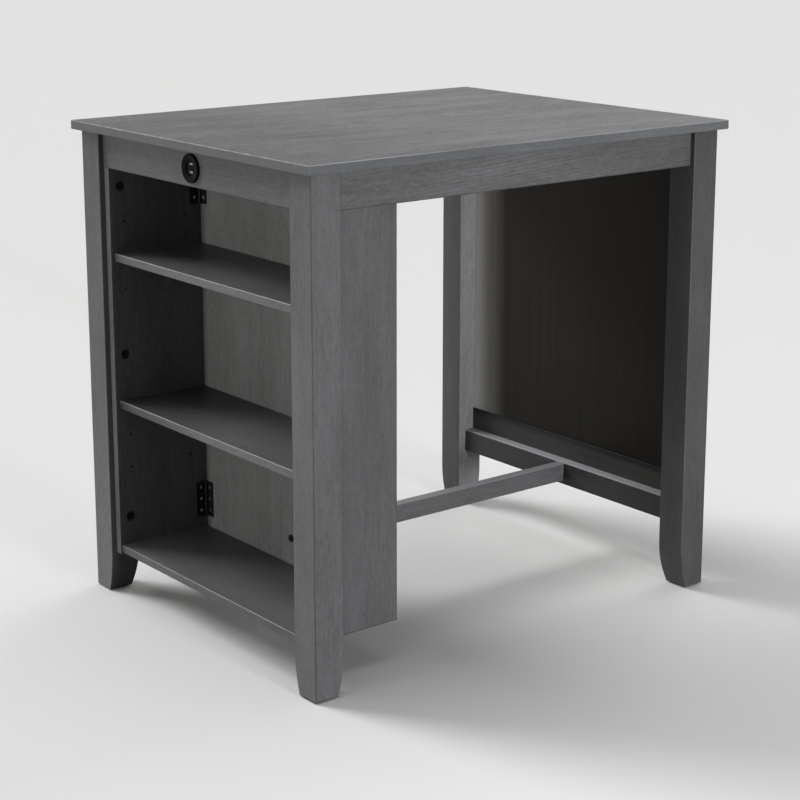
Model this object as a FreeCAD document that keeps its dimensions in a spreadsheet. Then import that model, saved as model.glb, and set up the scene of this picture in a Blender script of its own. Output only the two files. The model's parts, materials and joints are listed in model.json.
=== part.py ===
import FreeCAD, Part
import math
import os
import re
import Sketcher

# Counter height table with an open shelf case at one end and knee space on both long sides.
# A round power module sits in the apron above the case, and a dark panel closes the other end.
# The table stands on z = 0 with its plan centred on the origin. X runs along the length, with the
# case at the low end, and Y across the depth, with the front at the low side.

# Driving dimensions in millimetres
SIZES = {
    # Whole table
    "table_length": 965.2,
    "table_depth": 762.0,
    "table_height": 914.4,
    # Tabletop
    "top_thickness": 16.5,
    "top_overhang": 15.0,
    "top_corner_radius": 4.0,
    "top_edge_round": 1.5,
    # Legs, straight on the outer faces and curved in to a toe on the inner ones
    "leg_width": 60.0,
    "leg_edge_round": 1.5,
    "taper_height": 80.0,
    "taper_inset": 12.0,
    "bolt_flat": 12.0,
    # Glides under the legs
    "glide_height": 2.5,
    "glide_radius": 10.0,
    "glide_inset": 24.0,
    "nail_radius": 1.2,
    "nail_length": 14.0,
    "nail_seat": 1.2,
    "nail_head_radius": 3.0,
    "nail_head_height": 0.8,
    # Aprons
    "apron_height": 66.0,
    "apron_thickness": 20.0,
    "apron_recess": 10.0,
    "board_edge_round": 1.0,
    # Corner blocks and the hanger bolts that draw the legs into the corners
    "block_height": 48.0,
    "block_thickness": 24.0,
    "block_gap": 14.0,
    "hanger_radius": 4.0,
    "hanger_grip": 38.0,
    "hanger_spacing": 24.0,
    "hanger_tip": 4.0,
    "hanger_washer_radius": 9.0,
    "hanger_washer_height": 1.6,
    "hanger_nut_radius": 7.5,
    "hanger_nut_height": 6.5,
    # Wood screws from the corner blocks into the aprons and the tabletop
    "screw_radius": 2.0,
    "screw_head_radius": 4.0,
    "screw_head_height": 2.5,
    "block_screw_length": 28.0,
    "block_screw_setback": 20.0,
    "block_screw_seat": 13.0,
    "top_screw_spread": 24.0,
    "top_screw_bite": 11.0,
    # Shelf case
    "case_recess": 11.0,
    "case_depth": 209.5,
    "case_clearance": 80.0,
    "side_thickness": 15.0,
    "back_thickness": 11.0,
    # Bolts from the case sides into the legs
    "case_bolt_setback": 25.0,
    "case_bolt_low": 72.0,
    "case_bolt_high": 36.0,
    "case_bolt_radius": 3.0,
    "case_bolt_length": 25.0,
    "case_bolt_head_radius": 6.5,
    "case_bolt_head_height": 5.0,
    "counterbore_radius": 10.0,
    "counterbore_depth": 9.0,
    "insert_radius": 5.0,
    "insert_length": 20.0,
    "hex_socket_radius": 2.9,
    "hex_socket_depth": 2.0,
    # Shelves
    "shelf_thickness": 15.0,
    "shelf_recess": 8.0,
    "shelf_side_gap": 2.0,
    "shelf_rear_gap": 1.0,
    "bottom_shelf_recess": 4.0,
    "bottom_shelf_rise": 2.5,
    # Angle supports and their holes, three rows for each adjustable shelf: the middle rows stand above the
    # floor, and the upper ones hang below the aprons
    "row_spacing": 64.4,
    "middle_rows_height": 316.0,
    "upper_rows_drop": 167.1,
    "pin_front_setback": 30.5,
    "pin_rear_setback": 36.0,
    "pin_radius": 2.5,
    "pin_length": 9.0,
    "support_drop": 9.4,
    "support_rise": 5.0,
    "support_thickness": 1.5,
    "support_width": 12.0,
    "support_reach": 12.5,
    # Cam fittings of the bottom shelf
    "cam_radius": 7.4,
    "cam_height": 12.0,
    "cam_setback": 24.0,
    "cam_end_distance": 37.0,
    "cam_bolt_inset": 2.0,
    "cam_bolt_radius": 3.0,
    "cam_thread_radius": 2.5,
    "cam_thread_length": 11.0,
    # Butt hinges in the back corners of the case
    "hinge_height": 71.0,
    "hinge_low": 40.0,
    "hinge_high": 14.0,
    "leaf_width": 20.0,
    "leaf_thickness": 1.6,
    "knuckle_radius": 3.0,
    "knuckle_inset": 3.5,
    "hinge_pin_radius": 1.4,
    "hinge_pin_head_radius": 2.2,
    "hinge_pin_head_height": 0.8,
    "hinge_screw_distance": 10.5,
    "hinge_screw_spacing": 23.5,
    "hinge_screw_radius": 1.6,
    "hinge_screw_length": 9.0,
    "hinge_screw_head_radius": 2.9,
    "hinge_screw_head_height": 1.0,
    # Stretchers
    "stretcher_height": 123.5,
    "end_stretcher_width": 47.0,
    "end_stretcher_setback": 17.0,
    "middle_stretcher_width": 37.0,
    "middle_stretcher_thickness": 20.0,
    "middle_stretcher_rise": 7.5,
    # Bolts and barrel nuts at the two ends of the middle stretcher
    "joint_bolt_radius": 3.0,
    "joint_bolt_head_radius": 7.0,
    "joint_bolt_head_height": 2.5,
    "joint_bolt_reach": 42.0,
    "barrel_radius": 5.0,
    "barrel_length": 16.0,
    "barrel_setback": 34.0,
    # Hanger bolts, half round washers and nuts at the ends of the end stretcher
    "end_bolt_grip": 30.0,
    "pocket_radius": 11.0,
    "pocket_setback": 32.0,
    "pocket_depth": 23.0,
    "half_washer_height": 4.0,
    "half_washer_width": 12.0,
    "end_nut_radius": 5.7,
    "end_nut_height": 5.0,
    # End panel in its grooves, and the rail below it
    "rail_height": 46.0,
    "rail_thickness": 11.0,
    "panel_thickness": 5.0,
    "panel_gap": 0.5,
    "groove_depth": 6.0,
    "dowel_radius": 3.0,
    "dowel_length": 24.0,
    "dowel_spacing": 200.0,
    # Power module, a round unit clamped in a hole of the case end apron
    "module_radius": 21.0,
    "module_length": 36.0,
    "module_wall": 2.0,
    "bezel_radius": 26.0,
    "bezel_height": 5.5,
    "bezel_bore": 14.0,
    "bezel_lip": 3.5,
    "bezel_dish": 1.5,
    "bezel_round": 2.0,
    "face_thickness": 3.5,
    "lock_nut_radius": 30.0,
    "lock_nut_height": 8.0,
    "usb_width": 13.2,
    "usb_height": 5.8,
    "usb_wall": 0.5,
    "usb_depth": 14.0,
    "usb_spacing": 14.4,
    "tongue_width": 10.0,
    "tongue_thickness": 1.9,
    "tongue_length": 12.0,
    "cap_thickness": 3.0,
    "gland_radius": 7.0,
    "gland_neck_radius": 5.0,
    "gland_bore": 3.0,
    "gland_height": 6.0,
    # Clearances
    "fit_clearance": 0.1,
    "bolt_clearance": 0.4,
    "seat_clearance": 0.2,
    "groove_play": 0.15,
    "knuckle_play": 0.15,
    "cut_overrun": 1.0,
}

KNUCKLES = 5
SCREW_ROWS = (-1, 0, 1)
SUPPORT_ROWS = (-1, 0, 1)
DOWEL_ROWS = (-1, 0, 1)
HEXAGON_SIDES = 6
# Row that carries each adjustable shelf, among the three rows made for it
MIDDLE_SHELF_ROW = 1
UPPER_SHELF_ROW = 0
# Sign of Y on each long side of the table
SIDES = {"front": -1, "back": 1}
# Least share of an edge's direction that counts as running along an axis
ALONG_SHARE = 0.99

document = FreeCAD.newDocument("CounterHeightTable")
sheet = document.addObject("Spreadsheet::Sheet", "Sizes")
for row, (alias, number) in enumerate(SIZES.items(), start=1):
    sheet.set(f"A{row}", alias)
    sheet.set(f"B{row}", str(number))
    sheet.setAlias(f"B{row}", alias)
document.recompute()

# Places that follow from the driving dimensions
TOP_Z = "(table_height - top_thickness)"
LEG_X = "(table_length / 2 - top_overhang)"
LEG_Y = "(table_depth / 2 - top_overhang)"
LEG_INNER_X = f"({LEG_X} - leg_width)"
LEG_INNER_Y = f"({LEG_Y} - leg_width)"
TAPER_Z = "(glide_height + taper_height)"
TAPER_RADIUS = "((taper_height ^ 2 + taper_inset ^ 2) / (2 * taper_inset))"
APRON_Z = f"({TOP_Z} - apron_height)"
APRON_X = f"({LEG_X} - apron_recess)"
APRON_Y = f"({LEG_Y} - apron_recess)"
APRON_DEPTH = "(apron_recess + apron_thickness)"
CASE_FRONT = f"(case_recess - {LEG_X})"
CASE_REAR = f"({CASE_FRONT} + case_depth)"
BACK_FACE = f"({CASE_REAR} - back_thickness)"
CASE_INNER_Y = f"({LEG_INNER_Y} - side_thickness)"
CASE_BOLT_X = f"({CASE_FRONT} + case_bolt_setback)"
CASE_BOLT_LOW = "(case_clearance + case_bolt_low)"
CASE_BOLT_HIGH = f"({APRON_Z} - case_bolt_high)"
CASE_BOLT_MIDDLE = f"(({CASE_BOLT_LOW} + {CASE_BOLT_HIGH}) / 2)"
SHELF_FRONT = f"({CASE_FRONT} + shelf_recess)"
SHELF_REAR = f"({BACK_FACE} - shelf_rear_gap)"
SHELF_END = f"({CASE_INNER_Y} - shelf_side_gap)"
MIDDLE_SUPPORT_Z = f"(middle_rows_height + {MIDDLE_SHELF_ROW} * row_spacing)"
UPPER_ROWS_Z = f"({APRON_Z} - upper_rows_drop)"
UPPER_SUPPORT_Z = f"({UPPER_ROWS_Z} + {UPPER_SHELF_ROW} * row_spacing)"
PIN_COLUMNS = (f"({CASE_FRONT} + pin_front_setback)", f"({BACK_FACE} - pin_rear_setback)")
BOTTOM_SHELF_Z = "(case_clearance + bottom_shelf_rise)"
BOTTOM_SHELF_FRONT = f"({CASE_FRONT} + bottom_shelf_recess)"
CAM_Y = f"({CASE_INNER_Y} - cam_setback)"
CAM_BOLT_Z = f"({BOTTOM_SHELF_Z} + shelf_thickness / 2)"
CAM_COLUMNS = (f"({BOTTOM_SHELF_FRONT} + cam_end_distance)", f"({BACK_FACE} - cam_end_distance)")
KNUCKLE_X = f"({BACK_FACE} - knuckle_inset)"
KNUCKLE_Y = f"({CASE_INNER_Y} - knuckle_inset)"
HINGE_LEVELS = {
    "low": "(case_clearance + hinge_low + hinge_height / 2)",
    "high": f"({APRON_Z} - hinge_high - hinge_height / 2)",
}
STRETCHER_TOP = "(stretcher_height + end_stretcher_width)"
END_STRETCHER_FACE = f"({LEG_INNER_X} + end_stretcher_setback)"
END_STRETCHER_X = f"(({APRON_X} + {END_STRETCHER_FACE}) / 2)"
END_STRETCHER_Z = "(stretcher_height + end_stretcher_width / 2)"
MIDDLE_STRETCHER_BOTTOM = "(stretcher_height + middle_stretcher_rise)"
MIDDLE_STRETCHER_Z = f"({MIDDLE_STRETCHER_BOTTOM} + middle_stretcher_width / 2)"
POCKET_Y = f"({LEG_INNER_Y} - pocket_setback)"
HALF_WASHER_Y = f"({POCKET_Y} + pocket_radius - half_washer_height)"
RAIL_X = f"({APRON_X} - rail_thickness / 2)"
RAIL_TOP = f"({STRETCHER_TOP} + rail_height)"
MODULE_X = f"(0 - {APRON_X})"
MODULE_Z = f"({APRON_Z} + apron_height / 2)"
FACE_X = f"({MODULE_X} - bezel_height + bezel_lip)"

# Distances from the outer corner of a leg along the diagonal of the table's corner
FLAT_DISTANCE = "((2 * leg_width - bolt_flat) / sqrt(2))"
BLOCK_DISTANCE = f"({FLAT_DISTANCE} + block_gap)"
BLOCK_BACK_DISTANCE = f"({BLOCK_DISTANCE} + block_thickness)"
HANGER_DISTANCE = f"({FLAT_DISTANCE} - hanger_grip)"
HANGER_NUT_DISTANCE = f"({BLOCK_BACK_DISTANCE} + hanger_washer_height)"
HANGER_LENGTH = f"({HANGER_NUT_DISTANCE} + hanger_nut_height + hanger_tip - {HANGER_DISTANCE})"

# The corner blocks in the frame of a leg's outer corner
BLOCK_MIDDLE_Z = f"({TOP_Z} - block_height / 2)"
BLOCK_MIDDLE = f"(({BLOCK_DISTANCE} + {BLOCK_BACK_DISTANCE}) / (2 * sqrt(2)))"
BLOCK_NEAR_END = f"({BLOCK_DISTANCE} * sqrt(2) - {APRON_DEPTH})"
BLOCK_FAR_END = f"({BLOCK_BACK_DISTANCE} * sqrt(2) - {APRON_DEPTH})"
BLOCK_SCREW_PLACE = f"({BLOCK_FAR_END} - block_screw_setback)"
BLOCK_SCREW_SEAT = f"({APRON_DEPTH} + block_screw_seat)"

# Corners of the table, each with its turn from the first and the signs of X and Y
CORNERS = {
    "case_front": (0, -1, -1),
    "panel_front": (90, 1, -1),
    "panel_back": (180, 1, 1),
    "case_back": (270, -1, 1),
}
UP = FreeCAD.Vector(0, 0, 1)
DIRECTIONS = {
    "+x": FreeCAD.Vector(1, 0, 0),
    "-x": FreeCAD.Vector(-1, 0, 0),
    "+y": FreeCAD.Vector(0, 1, 0),
    "-y": FreeCAD.Vector(0, -1, 0),
    "+z": UP,
    "diagonal": FreeCAD.Vector(1, 1, 0),
}
OPPOSITE = {"+x": "-x", "-x": "+x", "+y": "-y", "-y": "+y"}
OUTWARD = {"front": "-y", "back": "+y"}
INWARD = {"front": "+y", "back": "-y"}
PLACES = {"x": "Placement.Base.x", "y": "Placement.Base.y", "z": "Placement.Base.z"}
ORIGIN = ("0", "0", "0")

pieces = []


# Formulas and places


def formula(text):
    """The same formula, with each driving dimension read from the sheet of sizes."""
    return re.sub(r"[a-z_]+", lambda word: f"Sizes.{word[0]}" if word[0] in SIZES else word[0], text)


def value(text):
    """The present number that a formula gives."""
    return float(sheet.evalExpression(formula(text)))


def bind(feature, **formulas):
    """Ties sizes of a feature to formulas, and its place where x, y and z are given."""
    for name, text in formulas.items():
        feature.setExpression(PLACES.get(name, name), formula(text))
    return feature


def place(feature, start, direction="+z"):
    """Turns a feature from upright to a direction and moves it to a start point."""
    rotation = FreeCAD.Rotation(UP, DIRECTIONS[direction])
    feature.Placement = FreeCAD.Placement(FreeCAD.Vector(), rotation)
    return bind(feature, x=start[0], y=start[1], z=start[2])


def place_at_corner(feature, corner, inset="0"):
    """Moves a feature from the frame of a leg's outer corner to one corner of the table."""
    angle, x_side, y_side = CORNERS[corner]
    feature.Placement = FreeCAD.Placement(FreeCAD.Vector(), FreeCAD.Rotation(UP, angle))
    return bind(feature, x=f"{x_side} * ({LEG_X} - {inset})", y=f"{y_side} * ({LEG_Y} - {inset})")


def along_diagonal(distance, height):
    """Start point at a distance from a leg's outer corner, in the frame of that corner."""
    return (f"{distance} / sqrt(2)", f"{distance} / sqrt(2)", height)


def both_ways(half):
    """The range that reaches equally far to both sides of the middle."""
    return (f"0 - {half}", half)


def beyond(low, extent):
    """The range from a place up to an extent past it."""
    return (low, f"({low} + {extent})")


def on_side(side, low, high):
    """A range of Y on one long side of the table."""
    return (f"{SIDES[side]} * {low}", f"{SIDES[side]} * {high}")


def middle_of(span):
    """Middle of a range."""
    return f"(({span[0]}) + ({span[1]})) / 2"


def extent_of(span):
    """Length of a range."""
    return f"abs(({span[1]}) - ({span[0]}))"


# Simple solids


def block(*spans):
    """A plain block that fills ranges of X, Y and Z."""
    feature = document.addObject("Part::Box", "Block")
    extents = [extent_of(span) for span in spans]
    start = [f"{middle_of(span)} - {extent} / 2" for span, extent in zip(spans, extents)]
    bind(feature, Length=extents[0], Width=extents[1], Height=extents[2])
    return place(feature, start)


def rod(radius, length, start, direction="+z"):
    """A round rod or drill from a start point along a direction."""
    feature = document.addObject("Part::Cylinder", "Rod")
    bind(feature, Radius=radius, Height=length)
    return place(feature, start, direction)


def hexagon_rod(radius, length, start, direction="+z"):
    """A rod with a hexagon for its section."""
    feature = document.addObject("Part::Prism", "Hexagon")
    feature.Polygon = HEXAGON_SIDES
    bind(feature, Circumradius=radius, Height=length)
    return place(feature, start, direction)


def joined(features):
    """One solid from several that meet."""
    result = document.addObject("Part::MultiFuse", "Joined")
    result.Shapes = features
    return result


def grouped(features):
    """Several separate solids in one feature."""
    result = document.addObject("Part::Compound", "Group")
    result.Links = features
    return result


def cut(base, tools):
    """A solid with the tools taken out of it."""
    result = document.addObject("Part::Cut", "Cut")
    result.Base = base
    result.Tool = tools[0] if len(tools) == 1 else grouped(tools)
    return result


def ring(radius, bore, length, start, direction="+z"):
    """A round sleeve or washer."""
    return cut(rod(radius, length, start, direction), [rod(bore, length, start, direction)])


def headed_rod(shank, length, head, height):
    """A rod upward from the origin, with a round head below it."""
    return joined([rod(shank, length, ORIGIN), rod(head, height, ("0", "0", f"0 - {height}"))])


def screw(shank, length, head, height, seat, direction):
    """A screw from the seat of its head along a direction."""
    return place(headed_rod(shank, length, head, height), seat, direction)


def socket_bolt(shank, length, head, height, seat, direction):
    """A bolt from the seat of its head along a direction, with a hexagon socket in the head."""
    key = hexagon_rod("hex_socket_radius", "hex_socket_depth", ("0", "0", f"0 - {height}"))
    return place(cut(headed_rod(shank, length, head, height), [key]), seat, direction)


# Solids from sketches


def new_sketch(body, role):
    """An empty sketch on a plane through the origin of a body."""
    sketch = body.newObject("Sketcher::SketchObject", "Sketch")
    plane = next(plane for plane in body.Origin.OriginFeatures if plane.Role == role)
    sketch.AttachmentSupport = [(plane, "")]
    sketch.MapMode = "FlatFace"
    return sketch


def dimension(sketch, kind, references, text):
    """A dimension in a sketch that follows a formula."""
    index = sketch.addConstraint(Sketcher.Constraint(kind, *references, value(text)))
    name = f"dimension_{index}"
    sketch.renameConstraint(index, name)
    sketch.setExpression(f"Constraints.{name}", formula(text))


def rectangle(body, role, width, height):
    """A sketched rectangle about the origin of a body."""
    sketch = new_sketch(body, role)
    across, up = value(width) / 2, value(height) / 2
    corners = [(-across, -up), (across, -up), (across, up), (-across, up)]
    points = [FreeCAD.Vector(x, y, 0) for x, y in corners]
    for index, point in enumerate(points):
        sketch.addGeometry(Part.LineSegment(point, points[(index + 1) % len(points)]), False)
    for index in range(len(points)):
        following = (index + 1) % len(points)
        sketch.addConstraint(Sketcher.Constraint("Coincident", index, 2, following, 1))
        level = "Horizontal" if index % 2 == 0 else "Vertical"
        sketch.addConstraint(Sketcher.Constraint(level, index))
    dimension(sketch, "DistanceX", (0, 1, 0, 2), width)
    dimension(sketch, "DistanceY", (1, 1, 1, 2), height)
    sketch.addConstraint(Sketcher.Constraint("Symmetric", 0, 1, 2, 1, -1, 1))
    return sketch


def edge_between(start, end, center):
    """A straight edge, or an arc about a centre. Also tells which of its ends is the start."""
    if center is None:
        return Part.LineSegment(start, end), 1
    turns_left = (start - center).cross(end - center).z > 0
    first, last = (start, end) if turns_left else (end, start)
    angles = [math.atan2(point.y - center.y, point.x - center.x) for point in (first, last)]
    circle = Part.Circle(center, UP, (start - center).Length)
    return Part.ArcOfCircle(circle, *angles), 1 if turns_left else 2


def outline(body, role, points, arcs):
    """A closed sketch through points. arcs has the centre of each round edge, by the edge's number."""
    sketch = new_sketch(body, role)
    corners = [FreeCAD.Vector(value(x), value(y), 0) for x, y in points]
    centers = {index: FreeCAD.Vector(value(x), value(y), 0) for index, (x, y) in arcs.items()}
    starts = []
    for index, start in enumerate(corners):
        end = corners[(index + 1) % len(corners)]
        edge, start_end = edge_between(start, end, centers.get(index))
        sketch.addGeometry(edge, False)
        starts.append(start_end)
    for index, (start_end, point) in enumerate(zip(starts, points)):
        following = (index + 1) % len(points)
        joint = (index, 3 - start_end, following, starts[following])
        sketch.addConstraint(Sketcher.Constraint("Coincident", *joint))
        for axis, kind, text in ((-2, "DistanceX", point[0]), (-1, "DistanceY", point[1])):
            if text == "0":
                sketch.addConstraint(Sketcher.Constraint("PointOnObject", index, start_end, axis))
            else:
                dimension(sketch, kind, (-1, 1, index, start_end), text)
    for index, (x, y) in arcs.items():
        start = points[index]
        radius = f"sqrt((({start[0]}) - ({x})) ^ 2 + (({start[1]}) - ({y})) ^ 2)"
        dimension(sketch, "Radius", (index,), radius)
    return sketch


def pad(body, sketch, length):
    """A solid with a sketch for its section, half of it on each side of the sketch."""
    feature = body.newObject("PartDesign::Pad", "Pad")
    feature.Profile = sketch
    feature.SideType = "Symmetric"
    return bind(feature, Length=length)


def pocket(body, sketch, length):
    """A cut through a body, half of it on each side of the sketch."""
    feature = body.newObject("PartDesign::Pocket", "Pocket")
    feature.Profile = sketch
    feature.SideType = "Symmetric"
    return bind(feature, Length=length)


def revolved(points, arcs, start, direction):
    """A round piece turned from an outline of radius and distance along its axis."""
    body = document.addObject("PartDesign::Body", "Turned")
    sketch = outline(body, "XZ_Plane", points, arcs)
    feature = body.newObject("PartDesign::Revolution", "Revolution")
    feature.Profile = sketch
    feature.ReferenceAxis = (sketch, ["V_Axis"])
    return place(body, start, direction)


def rounded(body, chosen, radius):
    """Rounds the edges of a body that pass a test."""
    document.recompute()
    base = body.Tip
    names = [f"Edge{index}" for index, edge in enumerate(base.Shape.Edges, start=1) if chosen(edge)]
    feature = body.newObject("PartDesign::Fillet", "Round")
    feature.Base = (base, names)
    return bind(feature, Radius=radius)


def runs_along(edge, axis):
    """Tells whether an edge runs along an axis."""
    return abs(getattr(edge.tangentAt(edge.FirstParameter), axis)) > ALONG_SHARE


def board(long_axis, *spans):
    """A board that fills ranges of X, Y and Z, with its long edges softly rounded."""
    body = document.addObject("PartDesign::Body", "Board")
    extents = [extent_of(span) for span in spans]
    pad(body, rectangle(body, "XY_Plane", extents[0], extents[1]), extents[2])
    rounded(body, lambda edge: runs_along(edge, long_axis), "board_edge_round")
    return place(body, [middle_of(span) for span in spans])


def piece(label, feature):
    """Names a feature as one of the table's pieces."""
    feature.Label = label
    pieces.append(feature)


# Fasteners in the corners of the frame, and their holes


def corner_copies(features):
    """Copies of features made in the frame of a leg's outer corner, one set at each corner."""
    return {corner: place_at_corner(grouped(features), corner) for corner in CORNERS}


def hanger_heights():
    """Heights of the two hanger bolts of a corner."""
    return [f"{BLOCK_MIDDLE_Z} + {side} * hanger_spacing / 2" for side in (-1, 1)]


def block_screw_seats():
    """Seats of the two screws from a block into the aprons, each with its direction."""
    return [
        ((BLOCK_SCREW_PLACE, BLOCK_SCREW_SEAT, BLOCK_MIDDLE_Z), "-y"),
        ((BLOCK_SCREW_SEAT, BLOCK_SCREW_PLACE, BLOCK_MIDDLE_Z), "-x"),
    ]


def top_screw_seats():
    """Seats of the two screws from the underside of a block up into the tabletop."""
    low = f"{BLOCK_MIDDLE} - top_screw_spread"
    high = f"{BLOCK_MIDDLE} + top_screw_spread"
    underside = f"{TOP_Z} - block_height"
    return [(low, high, underside), (high, low, underside)]


def hanger_bores():
    """Holes for the hanger bolts through the block and into the leg."""
    length = f"{HANGER_LENGTH} + seat_clearance"
    return [
        rod("hanger_radius + fit_clearance", length, along_diagonal(HANGER_DISTANCE, height), "diagonal")
        for height in hanger_heights()
    ]


def block_screw_bores():
    """Holes for the screws from a block into the aprons, with a recess for each head."""
    bores = []
    for seat, direction in block_screw_seats():
        length = "block_screw_length + seat_clearance"
        bores.append(rod("screw_radius + fit_clearance", length, seat, direction))
        recess_radius = "screw_head_radius + bolt_clearance"
        bores.append(rod(recess_radius, "block_screw_setback", seat, OPPOSITE[direction]))
    return bores


def top_screw_bores():
    """Holes for the screws through a block and up into the tabletop."""
    length = "block_height + top_screw_bite + seat_clearance"
    return [rod("screw_radius + fit_clearance", length, seat) for seat in top_screw_seats()]


def make_corner_fasteners():
    """Hanger bolts with washers and nuts, and the wood screws of the corner blocks."""
    bolts, washers, nuts = [], [], []
    for height in hanger_heights():
        start = along_diagonal(HANGER_DISTANCE, height)
        seat = along_diagonal(BLOCK_BACK_DISTANCE, height)
        nut_seat = along_diagonal(HANGER_NUT_DISTANCE, height)
        bore = "hanger_radius + fit_clearance"
        bolts.append(rod("hanger_radius", HANGER_LENGTH, start, "diagonal"))
        washers.append(ring("hanger_washer_radius", bore, "hanger_washer_height", seat, "diagonal"))
        nut = hexagon_rod("hanger_nut_radius", "hanger_nut_height", nut_seat, "diagonal")
        nuts.append(cut(nut, [rod(bore, "hanger_nut_height", nut_seat, "diagonal")]))
    head = ("screw_head_radius", "screw_head_height")
    block_screws = [
        screw("screw_radius", "block_screw_length", *head, seat, direction)
        for seat, direction in block_screw_seats()
    ]
    top_screw_length = "(block_height + top_screw_bite)"
    top_screws = [
        screw("screw_radius", top_screw_length, *head, seat, "+z")
        for seat in top_screw_seats()
    ]
    groups = {
        "hanger_bolts": bolts,
        "hanger_bolt_washers": washers,
        "hanger_bolt_nuts": nuts,
        "corner_block_screws": block_screws,
        "tabletop_screws": top_screws,
    }
    for label, features in groups.items():
        piece(label, grouped(list(corner_copies(features).values())))


# Tabletop


def make_tabletop(screw_holes):
    """The board on top, with rounded corners, softened edges and blind holes from below."""
    body = document.addObject("PartDesign::Body", "Top")
    pad(body, rectangle(body, "XY_Plane", "table_length", "table_depth"), "top_thickness")
    rounded(body, lambda edge: runs_along(edge, "z"), "top_corner_radius")
    rounded(body, lambda edge: not runs_along(edge, "z"), "top_edge_round")
    bind(body, z=f"{TOP_Z} + top_thickness / 2")
    piece("tabletop", cut(body, list(screw_holes.values())))


# Legs


def leg_body(corner):
    """A square leg, its two inner faces curved in to a smaller toe over the lowest stretch."""
    body = document.addObject("PartDesign::Body", "Leg")
    half = "(leg_width / 2)"
    toe = f"({half} - taper_inset)"
    outside = f"({half} + cut_overrun)"
    center = (f"{half} - {TAPER_RADIUS}", TAPER_Z)
    section = [
        (f"0 - {half}", "glide_height"),
        (toe, "glide_height"),
        (half, TAPER_Z),
        (half, TOP_Z),
        (f"0 - {half}", TOP_Z),
    ]
    pad(body, outline(body, "XZ_Plane", section, {1: center}), "leg_width")
    waste = [
        (toe, "glide_height"),
        (half, TAPER_Z),
        (outside, TAPER_Z),
        (outside, "glide_height"),
    ]
    pocket(body, outline(body, "YZ_Plane", waste, {0: center}), "leg_width + 2 * cut_overrun")

    def outer_upright(edge):
        middle = edge.BoundBox.Center
        upright = edge.BoundBox.ZLength > edge.BoundBox.XLength + edge.BoundBox.YLength
        return upright and min(middle.x, middle.y) < 0

    rounded(body, outer_upright, "leg_edge_round")
    return place_at_corner(body, corner, "leg_width / 2")


def bolt_flat():
    """The flat across the top of a leg's inner corner, where the hanger bolts enter."""
    feature = document.addObject("Part::Box", "Flat")
    feature.Placement = FreeCAD.Placement(FreeCAD.Vector(), FreeCAD.Rotation(UP, 45))
    bind(feature, Length="bolt_flat", Width="2 * bolt_flat", Height="apron_height")
    x = f"({FLAT_DISTANCE} + bolt_flat) / sqrt(2)"
    y = f"({FLAT_DISTANCE} - bolt_flat) / sqrt(2)"
    return bind(feature, x=x, y=y, z=APRON_Z)


def make_legs(hanger_holes, nail_holes, side_holes):
    """Four legs, each with the holes and grooves of its own corner."""
    flats = corner_copies([bolt_flat()])
    for corner in CORNERS:
        tools = [flats[corner], hanger_holes[corner], nail_holes[corner], *side_holes[corner]]
        piece(f"leg_{corner}", cut(leg_body(corner), tools))


# Aprons and corner blocks


def make_aprons(screw_holes, module_hole, groove):
    """Four boards between the legs, under the tabletop and set back behind the legs' faces."""
    heights = (APRON_Z, TOP_Z)
    for side in SIDES:
        across = on_side(side, APRON_Y, f"({APRON_Y} - apron_thickness)")
        body = board("x", both_ways(LEG_INNER_X), across, heights)
        holes = [screw_holes[f"case_{side}"], screw_holes[f"panel_{side}"]]
        piece(f"apron_{side}", cut(body, holes))
    for end, sign, extra in (("case", -1, module_hole), ("panel", 1, groove)):
        lengthwise = (f"{sign} * {APRON_X}", f"{sign} * ({APRON_X} - apron_thickness)")
        body = board("y", lengthwise, both_ways(LEG_INNER_Y), heights)
        holes = [screw_holes[f"{end}_front"], screw_holes[f"{end}_back"], extra]
        piece(f"apron_{end}_end", cut(body, holes))


def make_corner_blocks(hole_sets):
    """A block across each corner of the apron frame, its ends flat against the aprons."""
    points = [
        (BLOCK_NEAR_END, APRON_DEPTH),
        (BLOCK_FAR_END, APRON_DEPTH),
        (APRON_DEPTH, BLOCK_FAR_END),
        (APRON_DEPTH, BLOCK_NEAR_END),
    ]
    for corner in CORNERS:
        body = document.addObject("PartDesign::Body", "CornerBlock")
        pad(body, outline(body, "XY_Plane", points, {}), "block_height")
        place_at_corner(body, corner)
        bind(body, z=BLOCK_MIDDLE_Z)
        piece(f"corner_block_{corner}", cut(body, [holes[corner] for holes in hole_sets]))


# Shelf case


def case_bolt_seats(side):
    """Seats of the three bolts through one side of the case."""
    y = f"{SIDES[side]} * ({CASE_INNER_Y} + counterbore_depth)"
    return [(CASE_BOLT_X, y, z) for z in (CASE_BOLT_LOW, CASE_BOLT_MIDDLE, CASE_BOLT_HIGH)]


def insert_starts(side):
    """Mouths of the holes for the threaded inserts, in the inner face of a case leg."""
    return [(x, f"{SIDES[side]} * {LEG_INNER_Y}", z) for x, y, z in case_bolt_seats(side)]


def insert_holes(side):
    """Holes in a case leg for the threaded inserts."""
    size = ("insert_radius + fit_clearance", "insert_length + seat_clearance")
    return [rod(*size, start, OUTWARD[side]) for start in insert_starts(side)]


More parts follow.
